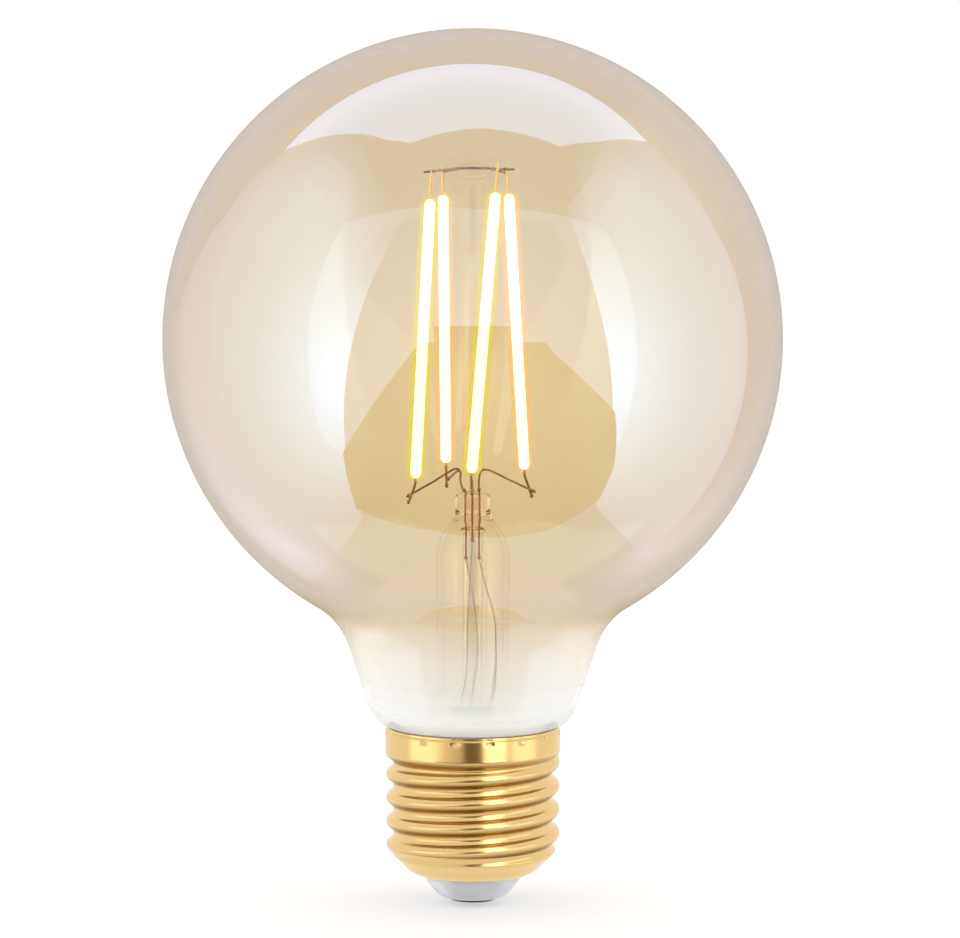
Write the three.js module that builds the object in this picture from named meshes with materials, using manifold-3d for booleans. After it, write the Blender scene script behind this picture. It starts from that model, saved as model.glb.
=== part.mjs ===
// A tunable filament lamp: a blown glass globe sealed round a glass stem that carries four LED
// filaments, cemented into a 27 mm screw cap that holds the driver.
// Millimetres, +Z up. The origin is the middle of the centre contact's flat underside, the lamp's
// axis is Z, and the front of the lamp faces -Y.
import * as THREE from 'three';
import { mergeVertices } from 'three/addons/utils/BufferGeometryUtils.js';
import Module from 'manifold-3d';

// Driving dimensions.
const GAP = 0.3;                       // between pieces that touch on the real lamp

const GLOBE_R = 46.75;                 // the blown ball
const GLOBE_CENTRE_Z = 85.5;
const GLASS_WALL = 0.8;
const NECK_FILLET_R = 12;              // where the ball runs into the neck
const NECK_R = 18.6;                   // a point on the neck's straight cone ...
const NECK_Z = 38.5;
const NECK_SLOPE = 0.327;              // ... and how fast that cone opens
const NECK_BOTTOM_Z = 20.9;            // the neck's cut edge, inside the cap
const NECK_IN_CAP_R = 11.3;

const THREAD_MAJOR_R = 26.45 / 2;      // 27 mm Edison thread
const THREAD_MINOR_R = 24.26 / 2;
const THREAD_PITCH = 3.629;
const THREAD_ARC_R = 1.025;            // one arc for the crests and the same one for the grooves
const THREAD_CREST_Z = 8.5;            // height of a crest on the -X side
const THREAD_END_Z = 21.0;             // where the thread starts to run out
const BAND_START_Z = 23.2;             // where the plain band starts
const RIM_R = 13.3;
const RIM_Z = 26.75;
const SHELL_BORE_R = 11.6;
const BAND_BORE_R = 12.8;

const CONTACT_R = 3.6;
const INSULATOR_TOP_Z = 6.6;

const FLARE_R = 5.55;                  // the stem's glass tube
const FLARE_WALL = 0.8;
const PRESS_BOTTOM_Z = 58.3;           // where the stem is pinched flat over its wires
const PRESS_TOP_Z = 62.3;
const PRESS_R = 2.65;
const ARBOR_R = 1.65;
const ARBOR_TOP_Z = 109.2;
const BUTTON_R = 2.8;                  // the glass bead that holds the cross wires
const BUTTON_Z = 111.0;

const PHOSPHOR_R = 1.0;                // a filament's silicone coat
const CARRIER_W = 0.9;                 // the strip inside it
const CARRIER_T = 0.35;
const PIN_R = 0.2;
const WIRE_R = 0.2;
const THIN_WIRE_R = 0.13;

const BOARD_T = 1.0;                   // driver board
const BOARD_HALF_W = 8.6;
const BOARD_BOTTOM_Z = 8.8;
const BOARD_SHOULDER_Z = 19.4;
const BOARD_NECK_HALF_W = 3.4;
const BOARD_TOP_Z = 29.5;

const lamp = new THREE.Group();
const wasm = await Module();
wasm.setup();

const point = (x, y, z) => new THREE.Vector3(x, y, z);
const onProfile = (r, z) => new THREE.Vector2(r, z);

// Names a piece, gives it its own material and adds it to the lamp.
function add(name, geometry, colour, roughness, metalness) {
  const material = new THREE.MeshStandardMaterial({ color: colour, roughness, metalness });
  const mesh = new THREE.Mesh(geometry, material);
  mesh.name = name;
  lamp.add(mesh);
  return mesh;
}

// Turns a profile of (radius, height) points round the lamp's axis.
function turned(profile, segments) {
  return new THREE.LatheGeometry(profile, segments).rotateX(Math.PI / 2);
}

// Turns a ring whose cross-section is the rectangle from r0 to r1 and z0 to z1.
function turnedRing(r0, r1, z0, z1, segments) {
  const section = [[r0, z0], [r1, z0], [r1, z1], [r0, z1], [r0, z0]];
  return turned(section.map(([r, z]) => onProfile(r, z)), segments);
}

// Draws a round wire or rod smoothly through the given points.
function wire(points, radius, steps = 3 * (points.length - 1)) {
  const section = new THREE.Shape().absarc(0, 0, radius, 0, 2 * Math.PI);
  const path = new THREE.CatmullRomCurve3(points, false, 'centripetal');
  const settings = { extrudePath: path, steps, curveSegments: 3, bevelEnabled: false };
  return new THREE.ExtrudeGeometry(section, settings);
}

// A plate cut to an outline in x and z, standing upright with its front face at yFront.
function uprightPlate(outline, yFront, thickness) {
  const shape = new THREE.Shape(outline.map(([x, z]) => new THREE.Vector2(x, z)));
  const plate = new THREE.ExtrudeGeometry(shape, { depth: thickness, bevelEnabled: false });
  return plate.rotateX(Math.PI / 2).translate(0, yFront + thickness, 0);
}

// A moulded block from (x, y, z), its middle, with its sizes along each axis.
function block(x, y, z, sizeX, sizeY, sizeZ) {
  return new THREE.BoxGeometry(sizeX, sizeY, sizeZ).translate(x, y, z);
}

// Turns a closed geometry into a manifold-3d solid.
function solid(geometry) {
  const bare = geometry.clone();
  bare.deleteAttribute('normal');
  bare.deleteAttribute('uv');
  const merged = mergeVertices(bare, 1e-4);
  const vertProperties = merged.attributes.position.array;
  const triVerts = new Uint32Array(merged.index.array);
  return new wasm.Manifold(new wasm.Mesh({ numProp: 3, vertProperties, triVerts }));
}

// Cuts the given geometries out of a body.
function cut(body, ...tools) {
  const left = tools.reduce((rest, tool) => rest.subtract(solid(tool)), solid(body)).getMesh();
  const geometry = new THREE.BufferGeometry();
  geometry.setAttribute('position', new THREE.BufferAttribute(left.vertProperties, 3));
  geometry.setIndex(new THREE.BufferAttribute(left.triVerts, 1));
  return geometry;
}

// ---------------------------------------------------------------------------------------------
// Globe: one blown envelope. Its outline goes up the neck inside the cap, curls out over the
// cap's rim, follows the neck's cone and a hollow fillet, and ends in the ball.

const FILLET_STEPS = 4;
const BALL_STEPS = 16;

// The fillet's centre lies its radius outside the neck's cone and outside the ball.
function neckFilletCentre() {
  const along = new THREE.Vector2(NECK_SLOPE, 1).normalize();
  const outward = new THREE.Vector2(along.y, -along.x);
  const start = onProfile(NECK_R, NECK_Z).addScaledVector(outward, NECK_FILLET_R);
  const toBall = start.clone().sub(onProfile(0, GLOBE_CENTRE_Z));
  const half = toBall.dot(along);
  const reach = GLOBE_R + NECK_FILLET_R;
  const t = -half - Math.sqrt(half * half - toBall.lengthSq() + reach * reach);
  return { centre: start.addScaledVector(along, t), outward };
}

// The envelope's outline, `inset` inside the glass's outer face, from the bottom to the top.
function globeOutline(inset) {
  const { centre, outward } = neckFilletCentre();
  const ballR = GLOBE_R - inset;
  const filletR = NECK_FILLET_R + inset;
  const towardsBall = onProfile(0, GLOBE_CENTRE_Z).sub(centre);
  const neckAngle = Math.atan2(-outward.y, -outward.x);
  const ballAngle = towardsBall.angle();
  const onBall = Math.atan2(-towardsBall.y, -towardsBall.x);
  const capR = NECK_IN_CAP_R - inset;
  const curl = new THREE.QuadraticBezierCurve(
    onProfile(capR, 25.4), onProfile(capR, 27.05 + inset / 2), onProfile(13.2 - inset, 27.15 + inset));
  const shoulder = new THREE.QuadraticBezierCurve(
    onProfile(13.2 - inset, 27.15 + inset), onProfile(15.1 - inset, 27.7 + inset),
    onProfile(15.85 - inset, 30.1 + inset / 2));
  const outline = [onProfile(capR, NECK_BOTTOM_Z), ...curl.getPoints(4), ...shoulder.getPoints(4).slice(1)];
  for (let i = 0; i <= FILLET_STEPS; i += 1) {
    const a = neckAngle + ((ballAngle - neckAngle) * i) / FILLET_STEPS;
    outline.push(onProfile(centre.x + filletR * Math.cos(a), centre.y + filletR * Math.sin(a)));
  }
  for (let i = 1; i <= BALL_STEPS; i += 1) {
    const a = onBall + ((Math.PI / 2 - onBall) * i) / BALL_STEPS;
    outline.push(onProfile(ballR * Math.cos(a), GLOBE_CENTRE_Z + ballR * Math.sin(a)));
  }
  outline[outline.length - 1].x = 0;
  return outline;
}

const globeProfile = [...globeOutline(GLASS_WALL).reverse(), ...globeOutline(0)];
add('globe_envelope', turned(globeProfile, 36), '#e3d5bd', 0.05, 0);

// ---------------------------------------------------------------------------------------------
// Stem: a flared tube whose top is pinched over the lead wires, the exhaust tube inside it, and
// the arbor rod with its bead above.

const flareOutline = [[10.2, 21.3], [9.9, 21.9], [8.2, 23.3], [6.8, 25.1], [5.9, 27.3], [FLARE_R, 30],
  [FLARE_R, 53], [5.3, 54.5], [4.7, 56], [4.1, 57], [3.4, 58]];
const flareInside = [[2.65, 58], [3.3, 57], [3.9, 56], [4.5, 54.5], [FLARE_R - FLARE_WALL, 53],
  [FLARE_R - FLARE_WALL, 30], [5.1, 27.3], [6.0, 25.1], [7.4, 23.3], [9.1, 21.9], [9.4, 21.3], [10.2, 21.3]];
const flareProfile = [...flareOutline, ...flareInside].map(([r, z]) => onProfile(r, z));
add('stem_flare', turned(flareProfile, 24), '#e9e2d6', 0.05, 0);

add('exhaust_tube', turnedRing(1.1, 1.85, 30.4, 56.9, 16).translate(0, 0.5, 0), '#e9e2d6', 0.05, 0);

// Where each of the three wires goes through the press, in x and y.
const SEAL_XY = { common: [-1.03, -1.82], cool: [-0.05, -2.05], warm: [0.97, -1.86] };

// A straight upright hole or wire through the press.
function throughPress(name, radius, z0, z1) {
  const [x, y] = SEAL_XY[name];
  return wire([point(x, y, z0), point(x, y, z1)], radius, 1);
}

const pressProfile = [[0, PRESS_BOTTOM_Z], [3.1, PRESS_BOTTOM_Z], [PRESS_R, 59.4], [PRESS_R, PRESS_TOP_Z - 0.4],
  [PRESS_R - 0.4, PRESS_TOP_Z], [0, PRESS_TOP_Z]].map(([r, z]) => onProfile(r, z));
const sealHoles = Object.keys(SEAL_XY).map(
  (name) => throughPress(name, WIRE_R + GAP * 0.75, PRESS_BOTTOM_Z - 1, PRESS_TOP_Z + 1));
add('stem_press', cut(turned(pressProfile, 24), ...sealHoles), '#e9e2d6', 0.05, 0);

const arborProfile = [[0, PRESS_TOP_Z + GAP], [ARBOR_R, PRESS_TOP_Z + GAP], [ARBOR_R, ARBOR_TOP_Z],
  [0, ARBOR_TOP_Z]].map(([r, z]) => onProfile(r, z));
add('arbor_rod', turned(arborProfile, 16), '#e9e2d6', 0.05, 0);

// ---------------------------------------------------------------------------------------------
// Filaments: each is a strip of LED chips in a silicone coat, with a pin at its head and another
// at its foot. foot and head are the ends of the coat, and tip is where the foot's pin ends.

const FILAMENTS = [
  { name: 'cool_filament_front_left', foot: point(-8.65, -3.2, 64.2), head: point(-6.3, -4.5, 107.5),
    tip: point(-9.7, -3.0, 61.1), colour: '#ffe36a' },
  { name: 'warm_filament_back_left', foot: point(-4.1, 9.0, 65.3), head: point(-4.5, 4.5, 107.7),
    tip: point(-4.0, 9.6, 62.2), colour: '#ffb25c' },
  { name: 'cool_filament_front_right', foot: point(-0.2, -9.7, 65.7), head: point(3.5, -4.6, 108.5),
    tip: point(-0.1, -9.9, 63.2), colour: '#ffe36a' },
  { name: 'warm_filament_back_right', foot: point(7.9, 3.6, 64.8), head: point(5.4, 4.5, 107.9),
    tip: point(9.0, 3.5, 61.3), colour: '#ffb25c' },
];
const PIN_ABOVE_COAT = 3.9;            // how far a head pin stands out of the coat

// A point on a filament's axis, `s` millimetres above the lower end of its coat.
function alongFilament({ foot, head }, s) {
  return foot.clone().addScaledVector(head.clone().sub(foot).normalize(), s);
}

// Stands a piece that was made along +Z from the origin on a filament's axis.
function standOnFilament(mesh, filament, s) {
  const axis = filament.head.clone().sub(filament.foot).normalize();
  mesh.quaternion.setFromUnitVectors(point(0, 0, 1), axis);
  mesh.position.copy(alongFilament(filament, s));
}

for (const filament of FILAMENTS) {
  const { name, foot, head, tip, colour } = filament;
  const length = head.distanceTo(foot);
  const coat = turnedRing(CARRIER_W / 2 + GAP, PHOSPHOR_R, 0, length, 12);
  standOnFilament(add(`${name}_phosphor`, coat, colour, 0.5, 0), filament, 0);

  const stripLength = length - 2;
  const strip = block(0, 0, stripLength / 2, CARRIER_W, CARRIER_T, stripLength);
  standOnFilament(add(`${name}_strip`, strip, '#d9dde0', 0.4, 0), filament, 1);

  const headPin = wire([alongFilament(filament, length - 0.6), alongFilament(filament, length + PIN_ABOVE_COAT)],
    PIN_R, 1);
  add(`${name}_head_pin`, headPin, '#8f8a80', 0.4, 1);

  const footPin = wire([alongFilament(filament, 0.6), alongFilament(filament, -0.3), tip], PIN_R, 4);
  add(`${name}_foot_pin`, footPin, '#8f8a80', 0.4, 1);
}

// ---------------------------------------------------------------------------------------------
// Head wires: one in front joins the two cool filaments, one behind joins the two warm ones, and
// both go through the bead on the arbor.

const coolCrossRoute = [point(-7.2, -4.0, 110.9), point(-5.6, -3.9, 111.05), point(-1.8, -1.3, 111.4),
  point(0, -1.0, 111.45), point(1.6, -1.4, 111.4), point(3.2, -3.35, 111.3), point(4.8, -4.3, 110.8)];
const warmCrossRoute = [point(-5.3, 3.75, 110.8), point(-3.8, 3.35, 110.8), point(-1.6, 1.3, 111.2),
  point(0, 1.0, 111.25), point(1.6, 1.3, 111.2), point(4.6, 3.9, 111.0), point(6.2, 4.3, 110.95)];
add('cool_cross_wire', wire(coolCrossRoute, WIRE_R), '#8a7a55', 0.4, 1);
add('warm_cross_wire', wire(warmCrossRoute, WIRE_R), '#8a7a55', 0.4, 1);

const bead = new THREE.SphereGeometry(BUTTON_R, 20, 12).rotateX(Math.PI / 2).scale(1, 1, 0.5);
bead.translate(0, 0, BUTTON_Z);
const wireChannels = [coolCrossRoute, warmCrossRoute].map((route) => wire(route, WIRE_R + GAP * 0.75));
add('arbor_bead', cut(bead, ...wireChannels), '#e9e2d6', 0.05, 0);

// ---------------------------------------------------------------------------------------------
// Lead wires: nickel above the press, copper-clad in it, and thin tinned wire below it, which
// goes down inside the flare to the driver board.

const nickelRoutes = {
  common: [point(-1.03, -1.82, 62.55), point(-1.6, -1.55, 63.3), point(-1.86, -1.2, 64.3),
    point(-1.9, -1.1, 65.9), point(-2.4, -1.3, 66.1), point(-9.9, -2.55, 62.0)],
  cool: [point(-0.05, -2.05, 62.55), point(-0.05, -2.2, 63.9), point(-0.1, -3.0, 64.5),
    point(-0.15, -9.3, 64.0)],
  warm: [point(0.97, -1.86, 62.55), point(1.0, -1.9, 65.0), point(1.5, -1.8, 65.9),
    point(2.3, -1.4, 65.9), point(9.5, 2.95, 62.1)],
};
for (const [name, route] of Object.entries(nickelRoutes)) {
  add(`${name}_inner_lead`, wire(route, WIRE_R), '#8d8a84', 0.35, 1);
}
const branchRoute = [point(-2.1, -0.55, 65.85), point(-2.6, 1.0, 65.3), point(-3.8, 8.9, 63.4)];
add('common_lead_branch', wire(branchRoute, WIRE_R), '#8d8a84', 0.35, 1);

const outerRoutes = {
  common: [point(-1.03, -1.82, 52.2), point(-0.15, -2.3, 47.9), point(0.5, -2.7, 43.4),
    point(0.7, -2.8, 37.8), point(0.15, -2.7, 33.3), point(-0.7, -1.3, 28.6)],
  cool: [point(-0.05, -2.05, 54.9), point(-0.6, -2.9, 46.2), point(-0.75, -3.4, 42.9),
    point(-1.0, -3.7, 35.3), point(-2.2, -1.3, 28.4)],
  warm: [point(0.97, -1.86, 52.2), point(1.9, -2.3, 48.6), point(2.8, -2.5, 45.6), point(3.4, -2.5, 42.9),
    point(3.5, -2.2, 39.1), point(3.3, -2.1, 35.3), point(2.4, -1.3, 28.6)],
};
const SEAL_BOTTOM_Z = { common: 52.6, cool: 55.3, warm: 52.6 };
for (const [name, route] of Object.entries(outerRoutes)) {
  add(`${name}_seal_wire`, throughPress(name, WIRE_R * 0.9, SEAL_BOTTOM_Z[name], PRESS_TOP_Z), '#b06a4a', 0.4, 1);
  add(`${name}_outer_lead`, wire(route, THIN_WIRE_R), '#8f8f90', 0.4, 1);
}

// ---------------------------------------------------------------------------------------------
// Cap: a thin pressed shell with a rolled thread, the insulator moulded into its bottom, the
// centre contact riveted through that, and the ring of cement that holds the glass.

// Height of the thread's outer face. Crest and groove are arcs that meet halfway between them.
function threadRadius(angle, z) {
  const crestHere = THREAD_CREST_Z + (THREAD_PITCH * (angle - Math.PI)) / (2 * Math.PI);
  const turns = (z - crestHere) / THREAD_PITCH;
  const fromCrest = Math.abs(turns - Math.round(turns)) * THREAD_PITCH;
  if (fromCrest < THREAD_PITCH / 4) {
    return THREAD_MAJOR_R - THREAD_ARC_R + Math.sqrt(THREAD_ARC_R ** 2 - fromCrest ** 2);
  }
  const fromGroove = THREAD_PITCH / 2 - fromCrest;
  return THREAD_MINOR_R + THREAD_ARC_R - Math.sqrt(THREAD_ARC_R ** 2 - fromGroove ** 2);
}

// The bottom of the shell, where it is drawn in to its lip: radius against height.
const SHELL_TOE = [[7.75, 3.95], [8.5, 4.1], [9.8, 4.7], [10.95, 5.9], [12.3, 7.1], [13.2, 8.4]];
const SHELL_INSIDE = [[BAND_BORE_R, RIM_Z], [BAND_BORE_R, BAND_START_Z], [SHELL_BORE_R, 22.8],
  [SHELL_BORE_R, 7.9], [10.5, 6.3], [9.5, 5.2], [8.4, 4.55], [7.75, 4.4]];
const THREAD_BOTTOM_Z = 6.2;           // where the toe starts to carry the thread
const THREAD_STEPS = 32;

function shellToeRadius(z) {
  const above = SHELL_TOE.findIndex(([, top]) => z < top);
  if (above < 0) return Infinity;
  const [r0, z0] = SHELL_TOE[above - 1];
  const [r1, z1] = SHELL_TOE[above];
  return r0 + ((r1 - r0) * (z - z0)) / (z1 - z0);
}

// The profile is turned with the thread's outer face at RIM_R, and each point of that face is
// then drawn in to the thread, which runs out below the plain band.
function shellGeometry() {
  const threadZ = Array.from({ length: THREAD_STEPS + 1 },
    (_, i) => THREE.MathUtils.lerp(THREAD_BOTTOM_Z, BAND_START_Z, i / THREAD_STEPS));
  const outside = [...SHELL_TOE.slice(0, 4), ...threadZ.map((z) => [RIM_R, z]), [RIM_R, RIM_Z]];
  const profile = [...outside, ...SHELL_INSIDE, SHELL_TOE[0]];
  const shell = turned(profile.map(([r, z]) => onProfile(r, z)), 40);
  const at = shell.attributes.position;
  for (let i = 0; i < at.count; i += 1) {
    const z = at.getZ(i);
    const r = Math.hypot(at.getX(i), at.getY(i));
    if (r < BAND_BORE_R + 0.2 || z > BAND_START_Z - 0.01) continue;
    const runOut = THREE.MathUtils.smoothstep(z, THREAD_END_Z, BAND_START_Z);
    const threaded = THREE.MathUtils.lerp(threadRadius(Math.atan2(at.getY(i), at.getX(i)), z), RIM_R, runOut);
    const scale = Math.min(threaded, shellToeRadius(z)) / r;
    at.setXY(i, at.getX(i) * scale, at.getY(i) * scale);
  }
  return shell;
}
add('e27_shell', shellGeometry(), '#e3b768', 0.25, 1);

const insulatorProfile = [[1.6, 0.75], [3.9, 0.75], [3.9, 0.3], [4.4, 0.3], [5.06, 0.5], [5.7, 1.06],
  [6.65, 2.3], [7.45, 3.6], [7.45, 4.85], [8.9, 5.4], [9.5, 6.0], [9.5, INSULATOR_TOP_Z],
  [1.6, INSULATOR_TOP_Z], [1.6, 0.75]];
add('cap_insulator', turned(insulatorProfile.map(([r, z]) => onProfile(r, z)), 36), '#c9cacb', 0.4, 0);

const contactProfile = [[0, 0], [CONTACT_R - 0.3, 0], [CONTACT_R, 0.15], [CONTACT_R, 0.45], [1.25, 0.45],
  [1.25, 7.1], [0, 7.1]];
add('centre_contact', turned(contactProfile.map(([r, z]) => onProfile(r, z)), 24), '#77787a', 0.35, 1);

add('basing_cement', turnedRing(11.65, 12.45, 23.6, 25.9, 32), '#d8d2c4', 0.9, 0);

// ---------------------------------------------------------------------------------------------
// Driver: an upright T-shaped board in an insulating sleeve. Its neck reaches up into the flare,
// where its radio module is out of the metal cap.

add('driver_sleeve', turnedRing(10.65, 11.25, 8.2, 19.4, 32), '#f0efe9', 0.5, 0);

const boardOutline = [[-BOARD_HALF_W, BOARD_BOTTOM_Z], [BOARD_HALF_W, BOARD_BOTTOM_Z],
  [BOARD_HALF_W, BOARD_SHOULDER_Z], [BOARD_NECK_HALF_W, BOARD_SHOULDER_Z], [BOARD_NECK_HALF_W, BOARD_TOP_Z],
  [-BOARD_NECK_HALF_W, BOARD_TOP_Z], [-BOARD_NECK_HALF_W, BOARD_SHOULDER_Z], [-BOARD_HALF_W, BOARD_SHOULDER_Z]];
add('driver_board', uprightPlate(boardOutline, -BOARD_T / 2, BOARD_T), '#2f6b46', 0.5, 0);

const FRONT = -BOARD_T / 2 - GAP;      // where a part on the front of the board starts
const BACK = BOARD_T / 2 + GAP;

add('radio_module', block(0, BACK + 0.4, 23.8, 6.2, 0.8, 6.4), '#1f3b57', 0.5, 0);
add('radio_shield_can', block(0, BACK + 0.8 + GAP + 0.8, 23.1, 4.8, 1.6, 4.4), '#b9bcc0', 0.3, 1);
add('antenna_wire', wire([point(2.7, 0, 29.9), point(3.3, 1.2, 32), point(3.5, 1.9, 35), point(3.5, 1.9, 41)],
  THIN_WIRE_R), '#b87a50', 0.4, 1);

// A can capacitor with the crimped groove near its base, standing upright.
const capacitorProfile = [[0, 0], [3.1, 0], [3.1, 1.2], [2.8, 1.5], [3.1, 1.8], [3.1, 9.6], [2.8, 10], [0, 10]];
const capacitor = turned(capacitorProfile.map(([r, z]) => onProfile(r, z)), 20).translate(-4.3, -4.4, 9.1);
add('bulk_capacitor', capacitor, '#2b2f3a', 0.4, 0);

// A drum-core choke: a winding between two ferrite flanges.
const chokeProfile = [[0, 0], [2.7, 0], [2.7, 1], [2.3, 1.1], [2.3, 5.9], [2.7, 6], [2.7, 7], [0, 7]];
const choke = turned(chokeProfile.map(([r, z]) => onProfile(r, z)), 20).translate(4.4, -4.1, 9.8);
add('filter_choke', choke, '#5a4636', 0.6, 0);

const resistorProfile = [[0, 0], [1.1, 0.3], [1.1, 5.7], [0, 6]].map(([r, z]) => onProfile(r, z));
add('fusible_resistor', turned(resistorProfile, 16).translate(-6.4, BACK + 1.3, 10), '#8fae8a', 0.5, 0);

add('bridge_rectifier', block(-2.2, BACK + 1.2, 16.9, 4.7, 2.4, 3.9), '#222326', 0.5, 0);
add('driver_chip', block(0.6, BACK + 0.75, 11.9, 4.9, 1.5, 3.9), '#222326', 0.5, 0);
add('cool_channel_transistor', block(5.6, BACK + 0.5, 16.9, 2.9, 1, 1.4), '#222326', 0.5, 0);
add('warm_channel_transistor', block(5.6, BACK + 0.5, 13.7, 2.9, 1, 1.4), '#222326', 0.5, 0);

add('contact_lead_wire', wire([point(0, 0, 7.6), point(0.2, -0.6, 8.2), point(0.4, -1.1, 9.2), point(0.5, -1.1, 10.6)],
  WIRE_R), '#b9bcc0', 0.4, 1);
add('shell_lead_wire', wire([point(-7.2, -1.1, 17.2), point(-7.8, -1.1, 19.2), point(-8.9, -1.0, 20.1),
  point(-11.05, -0.8, 20.15)], WIRE_R), '#b9bcc0', 0.4, 1);

export default lamp;
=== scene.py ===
"""A tunable filament lamp: a gold-tinted glass globe on a glass stem with four lit LED filaments,
cemented into a gold-plated 27 mm screw cap that holds the driver."""

import math

import bmesh
import bpy
import numpy as np
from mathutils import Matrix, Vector


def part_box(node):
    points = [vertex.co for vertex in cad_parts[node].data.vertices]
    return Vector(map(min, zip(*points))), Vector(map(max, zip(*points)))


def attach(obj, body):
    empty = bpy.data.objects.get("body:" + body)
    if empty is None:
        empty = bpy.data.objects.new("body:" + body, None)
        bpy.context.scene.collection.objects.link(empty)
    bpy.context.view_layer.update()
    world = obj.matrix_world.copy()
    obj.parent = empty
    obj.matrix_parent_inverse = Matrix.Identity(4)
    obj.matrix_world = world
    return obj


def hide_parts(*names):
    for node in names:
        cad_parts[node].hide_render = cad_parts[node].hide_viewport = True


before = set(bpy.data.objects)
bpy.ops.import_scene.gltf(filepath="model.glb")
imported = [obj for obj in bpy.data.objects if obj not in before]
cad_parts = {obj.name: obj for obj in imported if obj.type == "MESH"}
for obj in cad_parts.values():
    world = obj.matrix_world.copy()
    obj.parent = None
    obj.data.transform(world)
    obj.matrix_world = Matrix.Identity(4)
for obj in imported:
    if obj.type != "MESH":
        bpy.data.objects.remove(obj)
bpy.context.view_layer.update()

# ---- Camera and studio --------------------------------------------------------------------------
# The lamp stands on white paper inside a white tent: two tall glowing sides and a glowing roof,
# open at the front, where the room is dim. Cards that only show in reflections stand there.

VIEW_ELEVATION = 6.0          # degrees above the horizontal
VIEW_DISTANCE = 0.72          # metres from the lamp to a long lens
FRAME_WIDTH = 0.1451          # metres across the frame, at the lamp
SENSOR_WIDTH = 36.0           # millimetres
FRAME_MIDDLE = (0.0011, 0.0, 0.0659)
BALL_MIDDLE = (0.0, 0.0, 0.0855)


def linear(hex_colour, gain=1.0):
    """An sRGB hex colour as linear RGB times a gain, with alpha 1, by the inverse sRGB curve."""
    srgb = np.array([int(hex_colour[i:i + 2], 16) for i in (1, 3, 5)]) / 255
    rgb = gain * np.where(srgb <= 0.04045, srgb / 12.92, ((srgb + 0.055) / 1.055) ** 2.4)
    return (*rgb.tolist(), 1.0)


def node(owner, kind, inputs=(), **settings):
    """Adds a node to a tree. settings are the node's properties, and inputs gives each socket, by
    name or number, its value, the output that feeds it or the node whose first output does."""
    made = owner.node_tree.nodes.new("ShaderNode" + kind)
    for name, value in settings.items():
        setattr(made, name, value)
    for socket, value in dict(inputs).items():
        if isinstance(value, bpy.types.Node):
            value = value.outputs[0]
        if isinstance(value, bpy.types.NodeSocket):
            owner.node_tree.links.new(value, made.inputs[socket])
        else:
            made.inputs[socket].default_value = value
    return made


def material(name):
    """A new material with an empty node tree."""
    made = bpy.data.materials.new(name)
    made.use_nodes = True
    made.node_tree.nodes.clear()
    return made


tilt = math.radians(VIEW_ELEVATION)
camera = bpy.data.objects.new("camera", bpy.data.cameras.new("camera"))
camera.data.sensor_width = SENSOR_WIDTH
camera.data.lens = SENSOR_WIDTH * VIEW_DISTANCE / FRAME_WIDTH
camera.location = np.add(FRAME_MIDDLE, (0, -VIEW_DISTANCE * math.cos(tilt), VIEW_DISTANCE * math.sin(tilt)))
looking = Vector(FRAME_MIDDLE) - camera.location
camera.rotation_euler = looking.to_track_quat("-Z", "Y").to_euler()
bpy.context.scene.collection.objects.link(camera)
bpy.context.scene.camera = camera
bpy.context.scene.view_settings.view_transform = "Standard"
bpy.context.scene.cycles.transparent_max_bounces = 48


def card(name, corners, colour, radiance, glow=None, lights_the_lamp=False, sheer=False):
    """A flat glowing panel from its corners, in metres from the globe's middle, that the camera doesn't
    see. glow is (middle, reach, added radiance): a soft round patch that fades as (1 - d / reach)
    squared. A panel that doesn't light the lamp only shows in reflections. A sheer one adds its
    light to what is behind it."""
    mesh = bpy.data.meshes.new(name)
    mesh.from_pydata(np.add(corners, BALL_MIDDLE).tolist(), [], [list(range(len(corners)))])
    made = bpy.data.objects.new(name, mesh)
    bpy.context.scene.collection.objects.link(made)
    panel = material(name + "_cloth")
    strength = radiance
    if glow:
        middle, reach, added = glow
        place = node(panel, "TexCoord")
        shift = [-(m + b) / reach for m, b in zip(middle, BALL_MIDDLE)]
        patch = node(panel, "Mapping", {"Vector": place.outputs["Object"], "Location": shift,
                                        "Scale": [1 / reach] * 3})
        fade = node(panel, "TexGradient", {"Vector": patch}, gradient_type="QUADRATIC_SPHERE")
        strength = node(panel, "Math", {0: fade.outputs["Fac"], 1: added, 2: radiance},
                        operation="MULTIPLY_ADD")
    shine = node(panel, "Emission", {"Color": linear(colour), "Strength": strength})
    if sheer:
        shine = node(panel, "AddShader", {0: shine, 1: node(panel, "BsdfTransparent")})
    node(panel, "OutputMaterial", {"Surface": shine})
    mesh.materials.append(panel)
    made.visible_camera = False
    made.visible_diffuse = made.visible_transmission = lights_the_lamp
    made.visible_shadow = False
    return made


def standing(a, b, low, high):
    """The corners of an upright rectangle over the line from a to b, seen from above."""
    return [(*a, low), (*b, low), (*b, high), (*a, high)]


def bezier(a, b, c, count):
    """A quadratic curve from a to c that leaves a and reaches c along lines through b."""
    t = np.linspace(0, 1, count)[:, None]
    return (1 - t) ** 2 * np.array(a) + 2 * t * (1 - t) * np.array(b) + t ** 2 * np.array(c)


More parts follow.
